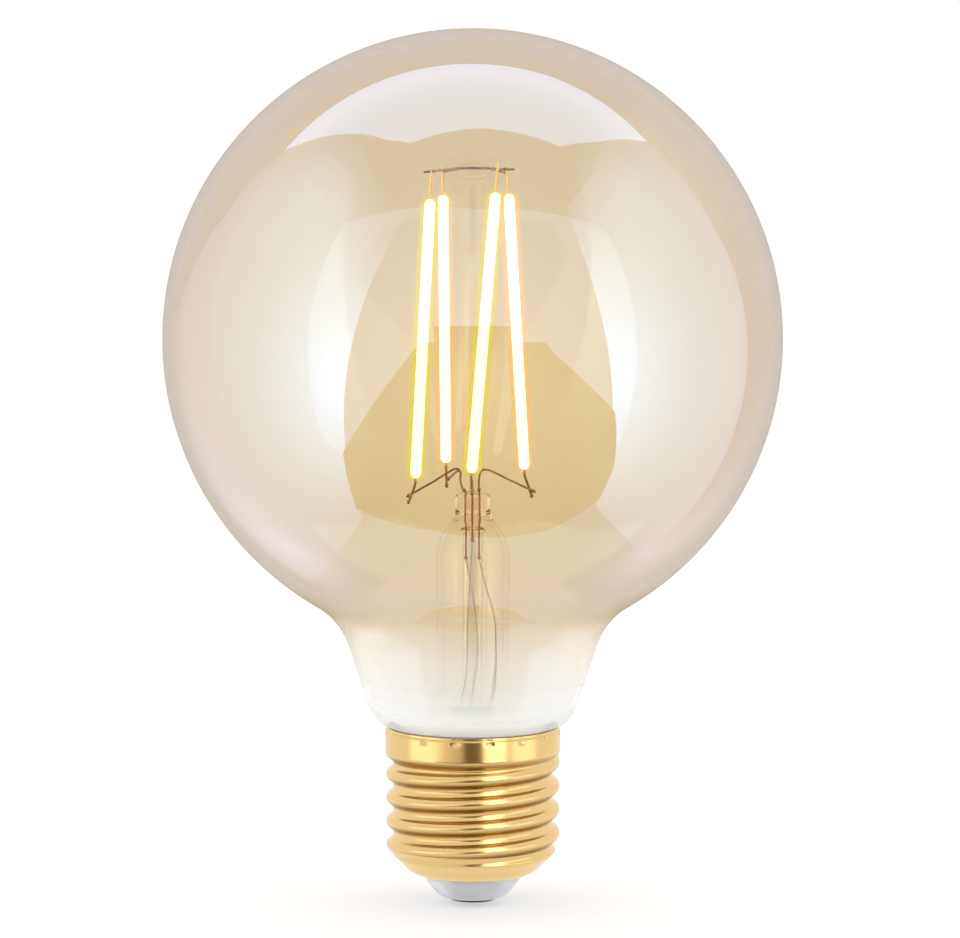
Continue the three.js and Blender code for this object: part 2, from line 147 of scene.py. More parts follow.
# The sides stand 1.2 m out, each given as (y, z), and the roof 1 m up, given as (x, y).
left_side = np.concatenate([bezier((-0.48, -1.94), (-1.42, 0.05), (-1.88, 2.65), 12),
                            bezier((-1.88, 2.65), (-0.73, 1.75), (0.31, 2.22), 8)[1:],
                            [(0.83, 1.15), (0.85, 0.54), (1.14, 0.19), (1.52, -0.06), (2.2, -1.94)]])
right_side = np.concatenate([bezier((-0.45, -1.6), (-1.44, 0.5), (-1.03, 1.8), 12),
                             bezier((-1.03, 1.8), (-0.3, 1.55), (0.33, 1.85), 8)[1:],
                             [(0.89, 1.4), (0.61, 0.56), (0.66, 0.06), (0.71, -0.21), (1.0, -1.6)]])
roof = [(-0.314, -0.127), (0.035, -0.074), (0.45, -0.08), (0.58, 0.07), (0.65, 0.16), (0.92, 0.62),
        (0.35, 0.67), (-0.01, 0.67), (-1.05, 0.72), (-0.54, 0.13), (-0.43, -0.03)]
for name, outline, middle in (("left_side", left_side, (-1.2, -1.0, -0.3)),
                              ("right_side", right_side, (1.2, -0.9, -0.25))):
    card(name, [(middle[0], y, z) for y, z in outline], "#ffffff", 0.1, (middle, 2.7, 4.2),
         lights_the_lamp=True, sheer=True)
for name, x, low_glow, high_glow in (("left", -1.25, 1.5, 1.3), ("right", 1.25, 0.9, 1.1)):
    card(name + "_low", standing((x, -1), (x, 3), -3, 0.5), "#ffffff", 0.0,
         ((x, 1.1, -1.6), 1.7, low_glow), sheer=True)
    card(name + "_high", standing((x, -1.8), (x, 1.2), 0, 2.6), "#ffffff", 0.0,
         ((x, -0.15, 1.15), 1.4, high_glow), sheer=True)
card("roof", [(x, y, 1.0) for x, y in roof], "#ffffff", 2.25, lights_the_lamp=True, sheer=True)

# The dim front: the room beside and above the camera, the dark table, and the lens's own gap.
card("front_room", [(-6, -3.2, -4), (6, -3.2, -4), (6, -3.2, 5.2), (0.2, -3.2, 4.1), (-6, -3.2, 5.6)],
     "#faf5f0", 0.7, lights_the_lamp=True, sheer=True)
TABLE_Z = -0.085
table = [(-1.04, -2.5), (-0.106, -0.1), (-0.061, -0.056), (-0.018, -0.06), (0.037, -0.054),
         (0.071, -0.058), (0.105, -0.08), (0.189, -0.155), (1.45, -2.5)]
card("front_table", [(x, y, TABLE_Z) for x, y in table], "#c9a27a", 0.25)
card("front_table_end", [(*table[0], TABLE_Z), (*table[-1], TABLE_Z), (1.22, -2.5, 0.14),
                         (-0.86, -2.5, 0.14)], "#c9a27a", 0.25)
card("lens_gap", standing((-0.24, -1.0), (0.24, -1.0), -0.2, 0.16), "#a8865c", 0.2)

backdrop = card("backdrop", standing((-3, 1.5), (3, 1.5), -3, 3), "#ffffff", 1.0,
                ((0.0, 1.5, -0.135), 0.14, 0.28))
backdrop.visible_camera = True
backdrop.visible_glossy = False

world = bpy.data.worlds.new("studio_air")
world.use_nodes = True
world.node_tree.nodes.clear()
direction = node(world, "TexCoord")
axes = node(world, "SeparateXYZ", {0: direction.outputs["Generated"]})
depth = node(world, "MapRange", {"Value": axes.outputs["Y"], "From Min": -0.3, "From Max": 0.5,
                                 "To Min": 0.97, "To Max": 1.05}, interpolation_type="SMOOTHSTEP")
dim_room = node(world, "Background", {"Color": linear("#fbf7f2"), "Strength": depth})
white_room = node(world, "Background", {"Color": (1, 1, 1, 1), "Strength": 1.02})
ray = node(world, "LightPath")
either = node(world, "MixShader", {0: ray.outputs["Is Camera Ray"], 1: dim_room, 2: white_room})
node(world, "OutputWorld", {"Surface": either})
bpy.context.scene.world = world

paper = material("white_sweep_paper")
matt = node(paper, "BsdfDiffuse", {"Color": linear("#9a9a9a")})
lit_from_below = node(paper, "Emission", {"Color": linear("#fbfcff"), "Strength": 0.56})
both = node(paper, "AddShader", {0: matt, 1: lit_from_below})
node(paper, "OutputMaterial", {"Surface": both})
bpy.ops.mesh.primitive_circle_add(vertices=96, radius=0.22, fill_type="NGON", location=(0, 0, -0.0006))
floor = bpy.context.object
floor.name = "studio_floor"
floor.data.materials.append(paper)
floor.visible_glossy = False

# ---- Glass globe --------------------------------------------------------------------------------
# One blown soda-lime envelope with a vapour-coated gold tint. Inside, a sprayed white coat fills
# the neck and fades out where the ball starts. The neck is drawn in to go down into the cap.

MM = 0.001
envelope_low, envelope_high = (np.array(corner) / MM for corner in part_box("globe_envelope"))
BALL_R = (envelope_high[0] - envelope_low[0]) / 2
BALL_Z = envelope_high[2] - BALL_R
GLASS_WALL = 0.8
FILLET_R = 12.0               # where the ball runs into the neck's cone
CONE_POINT = (18.6, 38.5)     # radius and height of a point on that cone
CONE_SLOPE = 0.327
IN_CAP_R = 11.3
RIM_CURL = (13.15, 26.95)     # the glass leans out over the cap's rim here


def surface(name, rows, finish, ring=False, second_finish=None, second_rows=None):
    """Skins a grid of points in millimetres, rows by points round. Every row closes on itself, and
    with ring the last row joins the first. A row drawn in to one point closes a pole. The rows that
    second_rows marks take the second finish."""
    count, across = rows.shape[:2]
    index = np.arange(count * across).reshape(count, across)
    low, high = (index, np.roll(index, -1, 0)) if ring else (index[:-1], index[1:])
    quads = np.stack([low, np.roll(low, -1, 1), np.roll(high, -1, 1), high], -1).reshape(-1, 4)
    mesh = bpy.data.meshes.new(name)
    mesh.from_pydata((rows.reshape(-1, 3) * MM).tolist(), [], quads.tolist())
    mesh.materials.append(finish)
    if second_finish:
        mesh.materials.append(second_finish)
        mesh.polygons.foreach_set("material_index", np.repeat(second_rows, across).astype(np.int32))
    mesh.polygons.foreach_set("use_smooth", np.ones(len(quads), bool))
    skin = bmesh.new()
    skin.from_mesh(mesh)
    bmesh.ops.remove_doubles(skin, verts=skin.verts, dist=1e-8)
    bmesh.ops.recalc_face_normals(skin, faces=skin.faces)
    skin.to_mesh(mesh)
    skin.free()
    made = bpy.data.objects.new(name, mesh)
    bpy.context.scene.collection.objects.link(made)
    return made


def fitted(piece, slot, *nodes):
    """The piece rides on the lamp's one body and stands for the nodes, which it hides. slot is not used."""
    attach(piece, "root")
    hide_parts(*nodes)
    return piece


def turned(profile, segments, middle=(0, 0)):
    """Turns (radius, height) points round an upright axis: x = r cos t, y = r sin t, z = height."""
    t = np.linspace(0, 2 * np.pi, segments, endpoint=False)
    r, z = np.asarray(profile, float).T[:, :, None]
    return np.stack([middle[0] + r * np.cos(t), middle[1] + r * np.sin(t),
                     np.broadcast_to(z, (len(r), segments))], -1)


def arc(centre, radius, start, end, count):
    """Points on a circle from one angle to another."""
    t = np.linspace(start, end, count)
    return np.stack([centre[0] + radius * np.cos(t), centre[1] + radius * np.sin(t)], -1)


def globe_outline(inset):
    """The glass's outline, inset from its outer face: a curl at the rim, the neck's cone, a fillet
    whose centre is its radius outside both the cone and the ball, and the ball."""
    along = np.array([CONE_SLOPE, 1.0]) / math.hypot(CONE_SLOPE, 1)
    outward = np.array([along[1], -along[0]])
    from_ball = np.array(CONE_POINT) + outward * FILLET_R - (0, BALL_Z)
    half = from_ball @ along
    back = -half - math.sqrt(half ** 2 - from_ball @ from_ball + (BALL_R + FILLET_R) ** 2)
    centre = from_ball + (0, BALL_Z) + along * back
    cone_end = math.atan2(-outward[1], -outward[0])
    ball_end = math.atan2(BALL_Z - centre[1], -centre[0])
    curl = (RIM_CURL[0] - inset, RIM_CURL[1] + inset)
    shoulder = (15.85 - inset, 30.1)
    outline = np.concatenate([
        [(IN_CAP_R - inset, envelope_low[2])],
        bezier((IN_CAP_R - inset, 25.4), (IN_CAP_R - inset, 27.0), curl, 10),
        bezier(curl, (15.1 - inset, 27.5 + inset), shoulder, 20)[1:],
        bezier(shoulder, (17.1 - inset, 33.9), (18.0 - inset, 36.7), 10)[1:],
        arc(centre, FILLET_R + inset, cone_end, ball_end, 22),
        arc((0, BALL_Z), BALL_R - inset, ball_end - math.pi, math.pi / 2, 90)[1:]])
    outline[-1, 0] = 0
    return outline


def glancing(owner, head_on, reach):
    """How much of the light a glass face reflects: head_on when seen straight, and reach more at a
    glancing angle, growing as the fourth power of one minus the cosine."""
    face = node(owner, "LayerWeight", {"Blend": 0.5})
    steep = node(owner, "Math", {0: face.outputs["Facing"], 1: 4.0}, operation="POWER")
    return node(owner, "Math", {0: steep, 1: reach, 2: head_on}, operation="MULTIPLY_ADD")


def height_ramp(owner, low, high):
    """0 below one height in millimetres and 1 above another, with a soft ramp between."""
    place = node(owner, "TexCoord")
    axes = node(owner, "SeparateXYZ", {0: place.outputs["Object"]})
    return node(owner, "MapRange", {"Value": axes.outputs["Z"], "From Min": low * MM,
                                    "From Max": high * MM}, interpolation_type="SMOOTHSTEP")


def height_fade(owner, low, high, share):
    """share below one height in millimetres and 0 above another: share times one minus the ramp."""
    ramp = height_ramp(owner, low, high)
    return node(owner, "Math", {0: ramp, 1: -share, 2: share}, operation="MULTIPLY_ADD")


# Soda glass under a metal oxide vapour coat: what goes through is gold, and what comes back is a
# little blue when seen straight and browner along the edge. The coat thins out down the neck.
tinted_glass = material("vapour_coated_soda_glass")
tint = node(tinted_glass, "MixRGB", {0: height_ramp(tinted_glass, 30, 50), 1: (1, 1, 1, 1),
                                     2: (0.9, 0.77, 0.56, 1)})
through = node(tinted_glass, "BsdfTransparent", {"Color": tint})
face = node(tinted_glass, "LayerWeight", {"Blend": 0.5})
sheen = node(tinted_glass, "ValToRGB", {"Fac": face.outputs["Facing"]})
sheen.color_ramp.elements[0].color = (0.34, 0.62, 1.0, 1)
sheen.color_ramp.elements[1].color = (0.52, 0.46, 0.38, 1)
for slant, hue in ((0.38, (0.28, 0.57, 1.0, 1)), (0.55, (0.42, 0.58, 1.0, 1)),
                   (0.75, (0.57, 0.66, 0.88, 1)), (0.92, (0.6, 0.58, 0.57, 1))):
    sheen.color_ramp.elements.new(slant).color = hue
# Painted reflection: where the ball turns into the neck, a band of the reflected colour is darkened to
# brown.
edge = node(tinted_glass, "Math", {0: height_ramp(tinted_glass, 39, 45),
                                   1: height_fade(tinted_glass, 45, 51, 0.55)}, operation="MULTIPLY")
painted_dark_reflection = node(tinted_glass, "MixRGB", {0: edge, 1: sheen, 2: linear("#978560")})
# The mirror takes the painted dark reflection in that band.
mirror = node(tinted_glass, "BsdfGlossy", {"Color": painted_dark_reflection, "Roughness": 0.0})
# Below the coat only bare glass reflects, so the shine falls off down the neck.
coated = node(tinted_glass, "MapRange", {"Value": height_ramp(tinted_glass, 34, 50), "To Min": 0.3,
                                         "To Max": 1.0})
# Light that comes back off the far wall has crossed the coat twice, so less of it returns.
side = node(tinted_glass, "NewGeometry")
far = node(tinted_glass, "Math", {0: side.outputs["Backfacing"], 1: -0.45, 2: 1.0},
           operation="MULTIPLY_ADD")
returned = node(tinted_glass, "Math", {0: coated, 1: far}, operation="MULTIPLY")
shown = node(tinted_glass, "Math", {0: glancing(tinted_glass, 0.13, 0.87), 1: returned},
             operation="MULTIPLY")
shine = node(tinted_glass, "MixShader", {0: shown, 1: through, 2: mirror})
# Seen along the wall, the powder behind it shows right out to the glass's edge.
powder_seen = node(tinted_glass, "BsdfDiffuse", {"Color": linear("#dddddb")})
veil = node(tinted_glass, "Math", {0: height_fade(tinted_glass, 27, 30.5, 0.36),
                                   1: height_fade(tinted_glass, 33, 47, 0.24)}, operation="ADD")
milky = node(tinted_glass, "MixShader", {0: veil, 1: shine, 2: powder_seen})
node(tinted_glass, "OutputMaterial", {"Surface": milky})

# The same glass inside, with fine white powder sprayed over it in the neck.
powdered_glass = material("white_sprayed_soda_glass")
through = node(powdered_glass, "BsdfTransparent", {"Color": (0.99, 0.985, 0.96, 1)})
mirror = node(powdered_glass, "BsdfGlossy", {"Color": (1, 1, 1, 1), "Roughness": 0.0})
shine = node(powdered_glass, "MixShader", {0: glancing(powdered_glass, 0.005, 0.5), 1: through, 2: mirror})
scatter = node(powdered_glass, "BsdfDiffuse", {"Color": linear("#e5e8ec")})
glow = node(powdered_glass, "BsdfTranslucent", {"Color": linear("#e5e8ec")})
powder = node(powdered_glass, "MixShader", {0: 0.45, 1: scatter, 2: glow})
# The spray is dense at the cap and thins to a haze that the wires show through.
near = node(powdered_glass, "Math", {0: height_fade(powdered_glass, 34, 50, 0.23),
                                     1: height_fade(powdered_glass, 29, 35, 0.74)}, operation="ADD")
# Against the light the far wall's powder hides all that is behind it.
wall = node(powdered_glass, "NewGeometry")
cover = node(powdered_glass, "Mix", {0: wall.outputs["Backfacing"],
                                     2: height_fade(powdered_glass, 31, 49, 0.97), 3: near})
sprayed = node(powdered_glass, "MixShader", {0: cover, 1: shine, 2: powder})
node(powdered_glass, "OutputMaterial", {"Surface": sprayed})

outer = globe_outline(0.0)
inner = globe_outline(GLASS_WALL)[::-1]
inside = np.arange(len(inner) + len(outer) - 1) < len(inner)
globe = surface("glass_globe", turned(np.concatenate([inner, outer]), 160), tinted_glass,
                second_finish=powdered_glass, second_rows=inside)
fitted(globe, "globe_glass", "globe_envelope")

# ---- Glass stem ---------------------------------------------------------------------------------
# Clear lead glass: a flared tube sealed to the neck, pinched at its top over the three seal wires,
# a rod that goes on up from the pinch, and a bead at its top that grips the cross wires.

EXHAUST_MIDDLE = (0.0, 0.5)


def smooth_through(points, count):
    """A smooth curve through points: a cubic on each span whose end slopes come from its neighbours,
    with the spans timed by the square root of their length."""
    points = np.asarray(points, float)
    span = np.linalg.norm(np.diff(points, axis=0), axis=1) ** 0.5
    knots = np.concatenate([[0], np.cumsum(span)])
    slope = np.gradient(points, knots, axis=0)
    t = np.linspace(0, knots[-1], count)
    i = np.clip(np.searchsorted(knots, t, "right") - 1, 0, len(span) - 1)
    h = span[i][:, None]
    u = ((t - knots[i]) / span[i])[:, None]
    return ((2 * u ** 3 - 3 * u ** 2 + 1) * points[i] + (u ** 3 - 2 * u ** 2 + u) * h * slope[i]
            + (3 * u ** 2 - 2 * u ** 3) * points[i + 1] + (u ** 3 - u ** 2) * h * slope[i + 1])


# Lead glass bends what is behind it, so its edges go dark. Light passes on to what is inside.
lead_glass = material("clear_lead_glass")
bend = node(lead_glass, "BsdfGlass", {"Color": (0.97, 0.965, 0.95, 1), "Roughness": 0.0, "IOR": 1.5})
pass_on = node(lead_glass, "BsdfTransparent", {"Color": (0.95, 0.95, 0.94, 1)})
rays = node(lead_glass, "LightPath")
clear = node(lead_glass, "MixShader", {0: rays.outputs["Is Shadow Ray"], 1: bend, 2: pass_on})
node(lead_glass, "OutputMaterial", {"Surface": clear})

# The even tubes and the rod hardly bend what is behind them: only their edges catch the light.
even_glass = material("drawn_lead_glass_tube")
clear = node(even_glass, "BsdfTransparent", {"Color": (0.985, 0.98, 0.965, 1)})
shiny = node(even_glass, "BsdfGlossy", {"Color": (0.9, 0.88, 0.85, 1), "Roughness": 0.02})
edges = node(even_glass, "MixShader", {0: glancing(even_glass, 0.02, 0.4), 1: clear, 2: shiny})
node(even_glass, "OutputMaterial", {"Surface": edges})

flare_outside = smooth_through([(10.2, 21.3), (9.5, 22.2), (8.2, 23.3), (6.8, 25.1), (5.9, 27.3),
                                (5.55, 30), (5.55, 42), (5.55, 53), (5.3, 54.5), (4.7, 56), (4.0, 57.1),
                                (3.3, 57.9)], 60)
flare_inside = smooth_through([(2.6, 57.9), (3.2, 57.0), (3.9, 56), (4.5, 54.5), (4.75, 53), (4.75, 42),
                               (4.75, 30), (5.1, 27.3), (6.0, 25.1), (7.4, 23.3), (8.7, 22.2), (9.4, 21.3)],
                              60)
flare = surface("stem_flare_tube", turned(np.concatenate([flare_outside, flare_inside]), 64), even_glass,
                ring=True)
fitted(flare, "stem_glass", "stem_flare")

press_side = smooth_through([(0, 58.0), (2.2, 58.0), (3.1, 58.2), (2.9, 58.9), (2.65, 59.6), (2.62, 60.8),
                             (2.6, 61.7), (2.35, 62.2), (1.7, 62.4), (0, 62.42)], 44)
press_side[[0, -1], 0] = 0
press = surface("stem_press_glass", turned(press_side, 48), lead_glass)
fitted(press, "stem_glass", "stem_press")

tube = np.concatenate([bezier((1.45, 30.4), (1.85, 30.4), (1.85, 31.0), 6),
                       bezier((1.85, 56.3), (1.85, 56.9), (1.5, 56.9), 6),
                       bezier((1.4, 56.9), (1.1, 56.9), (1.1, 56.3), 6),
                       bezier((1.1, 31.0), (1.1, 30.4), (1.4, 30.4), 6)])
exhaust = surface("stem_exhaust_tube", turned(tube, 32, EXHAUST_MIDDLE), lead_glass, ring=True)
fitted(exhaust, "stem_glass", "exhaust_tube")

rod_side = smooth_through([(0, 62.55), (1.3, 62.6), (1.9, 63.0), (1.75, 63.9), (1.65, 65.5), (1.65, 87),
                           (1.65, 107.6), (1.6, 108.7), (1.2, 109.15), (0, 109.2)], 60)
rod_side[[0, -1], 0] = 0
rod = surface("stem_arbor_rod", turned(rod_side, 32), even_glass)
fitted(rod, "stem_glass", "arbor_rod")

bead_turn = np.linspace(-np.pi / 2, np.pi / 2, 25)
bead_side = np.stack([2.8 * np.cos(bead_turn), 110.85 + 1.4 * np.sin(bead_turn)], -1)
bead_side[[0, -1], 0] = 0
bead = surface("stem_top_bead", turned(bead_side, 48), even_glass)
fitted(bead, "stem_glass", "arbor_bead")

# ---- Filaments ----------------------------------------------------------------------------------
# Each is a narrow ceramic strip of small blue LED chips under a round coat of phosphor silicone.
# Lit, the strip is too bright to see into, and the coat shows as a coloured edge round it.

COAT_R = 1.65
STRIP_GLOW_R = 0.8
LEAN = (0.31, 0.9, 0.17)      # a direction that no wire or filament runs along
STRIP_GAP = 0.015             # the share of the coat's length that stays dark at each end
FILAMENTS = {                 # foot, head, and the tip of the foot's pin
    "cool_filament_front_left": ((-8.65, -3.2, 64.2), (-6.3, -4.5, 107.5), (-9.7, -3.0, 61.1)),
    "warm_filament_back_left": ((-4.1, 9.0, 65.3), (-4.5, 4.5, 107.7), (-4.0, 9.6, 62.2)),
    "cool_filament_front_right": ((-0.2, -9.7, 65.7), (3.5, -4.6, 108.5), (-0.1, -9.9, 63.2)),
    "warm_filament_back_right": ((7.9, 3.6, 64.8), (5.4, 4.5, 107.9), (9.0, 3.5, 61.3)),
}


def swept(path, half_width, half_depth, around, squareness=1.0):
    """A skin along a path. Across the path, at each point, lies the curve (w cos^p, d sin^p), which is
    round when p is 1 and squarer as p falls."""
    tangent = np.gradient(path, axis=0)
    tangent /= np.linalg.norm(tangent, axis=1)[:, None]
    side = np.cross(tangent, LEAN)
    side /= np.linalg.norm(side, axis=1)[:, None]
    other = np.cross(tangent, side)
    t = np.linspace(0, 2 * np.pi, around, endpoint=False)
    wide = np.sign(np.cos(t)) * np.abs(np.cos(t)) ** squareness
    deep = np.sign(np.sin(t)) * np.abs(np.sin(t)) ** squareness
    return (path[:, None] + np.asarray(half_width)[:, None, None] * wide[:, None] * side[:, None]
            + np.asarray(half_depth)[:, None, None] * deep[:, None] * other[:, None])


def rod_with_round_ends(foot, head, radius):
    """A straight rod from foot to head whose radius follows a quarter circle in at each end."""
    foot, head = np.array(foot), np.array(head)
    length = np.linalg.norm(head - foot)
    bend = np.linspace(0, np.pi / 2, 9)
    middle = np.linspace(radius, length - radius, 24)[1:-1]
    s = np.concatenate([radius * (1 - np.cos(bend)), middle, length - radius * (1 - np.cos(bend[::-1]))])
    r = np.concatenate([radius * np.sin(bend), np.full(len(middle), radius), radius * np.sin(bend[::-1])])
    return swept(foot + (head - foot) * (s / length)[:, None], r, r, 24)


# The two channels' light: a greener yellow and a redder orange at the coat's edge, where the glow
# thins out because less of the milky silicone lies in the way. A strip wavers from chip to chip.
CHANNELS = {"cool": ("#fffdf0", "#e8de60"), "warm": ("#fffaf0", "#f9ce92")}
strip_light, coat_light = {}, {}
for channel, (strip_colour, coat_colour) in CHANNELS.items():
    strip = strip_light[channel] = material(f"lit_{channel}_led_strip")
    place = node(strip, "TexCoord")
    chips = node(strip, "TexNoise", {"Vector": place.outputs["Object"], "Scale": 700.0, "Detail": 1.0})
    bright = node(strip, "MapRange", {"Value": chips.outputs["Fac"], "To Min": 4.6, "To Max": 6.2})
    light = node(strip, "Emission", {"Color": linear(strip_colour), "Strength": bright})
    node(strip, "OutputMaterial", {"Surface": light})
    coat = coat_light[channel] = material(f"lit_{channel}_phosphor_silicone")
    light = node(coat, "Emission", {"Color": linear(coat_colour), "Strength": 1.35})
    clear = node(coat, "BsdfTransparent")
    face = node(coat, "LayerWeight", {"Blend": 0.5})
    thick = node(coat, "MapRange", {"Value": face.outputs["Facing"], "From Min": 0.15, "From Max": 0.8,
                                    "To Min": 0.62, "To Max": 0.0})
    milky = node(coat, "MixShader", {0: thick, 1: clear, 2: light})
    node(coat, "OutputMaterial", {"Surface": milky})

for name, (foot, head, _) in FILAMENTS.items():
    channel = name.split("_")[0]
    glowing = np.array([[1 - STRIP_GAP, STRIP_GAP], [STRIP_GAP, 1 - STRIP_GAP]]) @ [foot, head]
    strip = surface(name + "_led_strip", rod_with_round_ends(*glowing, STRIP_GLOW_R), strip_light[channel])
    fitted(strip, "filament_strip", name + "_strip")
    coat = surface(name + "_silicone", rod_with_round_ends(foot, head, COAT_R), coat_light[channel])
    fitted(coat, channel + "_phosphor", name + "_phosphor")

# ---- Filament pins and bare nickel wires --------------------------------------------------------
# A flat gold-flashed pin sticks out of each filament's head and a round nickel one out of its foot.
# They are spot welded to nickel wires: two across the top, held by the bead, and three that come up
# out of the press, one of them with a branch.

PIN_HALF_WIDTH = 0.22
PIN_HALF_DEPTH = 0.11
FOOT_PIN_R = 0.2
PIN_SUNK = 0.6                # how far a pin starts inside the coat
HEAD_PIN_OUT = 3.9
FOOT_PIN_KNEE = 0.3           # where the pin under the foot bends towards its tip
WIRE_R = 0.16
WELD_R = 0.3


def worked(name, scale, detail, dark, light, rough, metallic=0.0, stretch=(1, 1, 1), swirl=0.0, also=()):
    """A finish with the marks of its making. Noise through the solid, at scale per metre, drawn out by
    stretch and bent by swirl, runs the colour from dark to light, and the roughness over rough when
    that is a pair. With no light colour the dark one stays even. also gives the shader's further
    sockets."""
    made = material(name)
    place = node(made, "TexCoord")
    drawn = node(made, "Mapping", {"Vector": place.outputs["Object"], "Scale": stretch})
    marks = node(made, "TexNoise", {"Vector": drawn, "Scale": scale, "Detail": detail, "Distortion": swirl})
    if light:
        tone = node(made, "ValToRGB", {"Fac": marks.outputs["Fac"]})
        tone.color_ramp.elements[0].color = linear(dark)
        tone.color_ramp.elements[1].color = linear(light)
    if isinstance(rough, tuple):
        rough = node(made, "MapRange", {"Value": marks.outputs["Fac"], "To Min": rough[0],
                                        "To Max": rough[1]})
    body = node(made, "BsdfPrincipled", {"Base Color": tone if light else linear(dark),
                                         "Metallic": metallic, "Roughness": rough, **dict(also)})
    node(made, "OutputMaterial", {"Surface": body})
    return made


# Gold-flashed nickel-iron pins: satin and yellow, and bright beside the lit coat.
pin_metal = worked("gold_flashed_pin", 1500.0, 2.0, "#c4ae74", "#ece0a6", 0.45, metallic=0.7)

# Drawn nickel: fairly shiny, and browned in blotches by the heat of the welds and the sealing.
nickel = worked("drawn_nickel_wire", 900.0, 2.0, "#6b4f34", "#a58a60", 0.35, metallic=1.0)


def wire(name, points, radius, finish, welds=()):
    """A round wire with domed ends along a smooth curve through points. At each share of its length
    in welds it swells into a bead, by a bell curve one weld radius wide."""
    points = np.array(points, float)
    path = smooth_through(points, 10 * len(points)) if len(points) > 2 else np.linspace(*points, 24)
    step = np.linalg.norm(np.diff(path, axis=0), axis=1)
    s = np.concatenate([[0], np.cumsum(step)])
    r = np.full(len(s), radius)
    for share in welds:
        r = np.maximum(r, WELD_R * np.exp(-((s - share * s[-1]) / (1.3 * WELD_R)) ** 2))
    dome = np.sqrt(np.maximum(0, 1 - np.linspace(1, 0, 5) ** 2))
    start = path[0] + (path[0] - path[1]) / step[0] * r[0] * np.linspace(1, 0, 5)[:, None]
    end = path[-1] + (path[-1] - path[-2]) / step[-1] * r[-1] * np.linspace(0, 1, 5)[:, None]
    path = np.concatenate([start[:-1], path, end[1:]])
    r = np.concatenate([r[0] * dome[:-1], r, r[-1] * dome[::-1][1:]])
    return surface(name, swept(path, r, r, 12), finish)


for name, (foot, head, tip) in FILAMENTS.items():
    foot, head, tip = np.array(foot), np.array(head), np.array(tip)
    along = (head - foot) / np.linalg.norm(head - foot)
    lead = np.linspace(head - PIN_SUNK * along, head + HEAD_PIN_OUT * along, 14)
    taper = np.minimum(1, np.linspace(0, 3, 14)[::-1] + 0.35)
    pin = surface(name + "_top_pin", swept(lead, PIN_HALF_WIDTH * taper, PIN_HALF_DEPTH * taper, 12,
                                           squareness=0.5), pin_metal)
    fitted(pin, "nickel_wire", name + "_head_pin")
    knee = foot - FOOT_PIN_KNEE * along
    pin = wire(name + "_lower_pin", [foot + PIN_SUNK * along, knee, (knee + tip) / 2, tip], FOOT_PIN_R,
               nickel, welds=(0.95,))
    fitted(pin, "nickel_wire", name + "_foot_pin")

# Each wire's welds, as shares of its length, and the points it runs through.
NICKEL_WIRES = {
    "cool_cross_wire": ((0.09, 0.85), [
        (-7.2, -4.0, 110.9), (-5.6, -3.9, 111.05), (-1.8, -1.3, 111.4), (0, -1.0, 111.45),
        (1.6, -1.4, 111.4), (3.2, -3.35, 111.3), (4.8, -4.3, 110.8)]),
    "warm_cross_wire": ((0.09, 0.9), [
        (-5.3, 3.75, 110.8), (-3.8, 3.35, 110.8), (-1.6, 1.3, 111.2), (0, 1.0, 111.25),
        (1.6, 1.3, 111.2), (4.6, 3.9, 111.0), (6.2, 4.3, 110.95)]),
    "common_inner_lead": ((0.04, 0.97), [
        (-1.03, -1.82, 62.5), (-1.6, -1.55, 63.3), (-1.86, -1.2, 64.3), (-1.9, -1.1, 65.7),
        (-2.4, -1.3, 66.1), (-6.1, -1.9, 64.1), (-9.9, -2.55, 62.0)]),
    "cool_inner_lead": ((0.05, 0.97), [
        (-0.05, -2.05, 62.5), (-0.05, -2.2, 63.9), (-0.1, -3.0, 64.5), (-0.12, -6.0, 64.3),
        (-0.15, -9.3, 64.0)]),
    "warm_inner_lead": ((0.04, 0.97), [
        (0.97, -1.86, 62.5), (1.0, -1.9, 65.0), (1.4, -1.8, 65.9), (2.3, -1.4, 65.9),
        (5.9, 0.8, 64.0), (9.5, 2.95, 62.1)]),
    "common_lead_branch": ((0.03, 0.97), [
        (-2.1, -0.55, 65.85), (-2.6, 1.0, 65.3), (-3.2, 5.0, 64.3), (-3.8, 8.9, 63.4)]),
}
for name, (welds, points) in NICKEL_WIRES.items():
    fitted(wire(name + "_nickel", points, WIRE_R, nickel, welds), "nickel_wire", name)

# ---- Seal wires and outer leads -----------------------------------------------------------------
# Copper-clad nickel-iron goes through the press, because it swells with heat as the glass does.
# It is borated, which turns it a dull brick red. Thin tinned leads go on down to the driver.

SEAL_R = 0.15
LEAD_R = 0.1
SEAL_WIRES = {
    "common_seal_wire": [(-1.03, -1.82, 52.6), (-1.03, -1.82, 62.3)],
    "cool_seal_wire": [(-0.05, -2.05, 55.3), (-0.05, -2.05, 62.3)],
    "warm_seal_wire": [(0.97, -1.86, 52.6), (0.97, -1.86, 62.3)],
}
OUTER_LEADS = {
    "common_outer_lead": [(-1.03, -1.82, 52.4), (-0.15, -2.3, 47.9), (0.5, -2.7, 43.4), (0.7, -2.8, 37.8),
                          (0.15, -2.7, 33.3), (-0.7, -1.3, 28.6)],
    "cool_outer_lead": [(-0.05, -2.05, 55.1), (-0.6, -2.9, 46.2), (-0.75, -3.4, 42.9), (-1.0, -3.7, 35.3),
                        (-2.2, -1.3, 28.4)],
    "warm_outer_lead": [(0.97, -1.86, 52.4), (1.9, -2.3, 48.6), (2.8, -2.5, 45.6), (3.4, -2.5, 42.9),
                        (3.5, -2.2, 39.1), (3.3, -2.1, 35.3), (2.4, -1.3, 28.6)],
}

